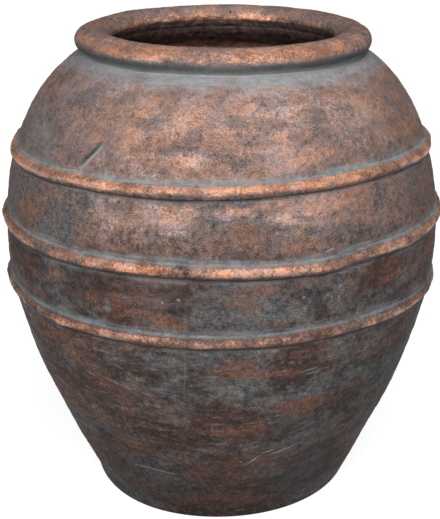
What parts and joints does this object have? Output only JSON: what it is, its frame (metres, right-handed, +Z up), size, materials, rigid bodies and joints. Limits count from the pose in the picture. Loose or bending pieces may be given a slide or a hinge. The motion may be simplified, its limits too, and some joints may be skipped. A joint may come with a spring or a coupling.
{
  "type": "pithos jar",
  "caption": "Wide-bellied pithos: a coil-built storage jar with applied cordons round the belly, a thick rolled rim and a drained flat foot, in a rubbed copper patina.",
  "frame": {"origin": "centre of the underside, on the plane that the jar stands on", "axes": "+Z up along the axis of the jar; the jar is round, and -Y is the side that faces the picture's camera"},
  "size_m": [0.6758, 0.6758, 0.72],
  "materials": {
    "wall_patina": "dark brown patina with rubbed copper and blue-grey wash, satin",
    "cordon_patina": "copper rubbed on the crest, grey wash at the toes, satin",
    "rim_patina": "copper rubbed roll over dark brown, satin",
    "foot_clay": "dark brown patina, worn, matt underneath",
    "inner_clay": "dark rough clay, matt"
  },
  "bodies": {
    "root": {"floor_slab": "foot_clay", "floor_seam_coil": "inner_clay", "foot_course": "wall_patina", "lower_wall_course": "wall_patina", "upper_wall_course": "wall_patina", "lower_belly_course": "wall_patina", "upper_belly_course": "wall_patina", "shoulder_course": "wall_patina", "neck_course": "wall_patina", "rim_roll": "rim_patina", "lower_cordon": "cordon_patina", "middle_cordon": "cordon_patina", "upper_cordon": "cordon_patina"}
  },
  "joints": []
}
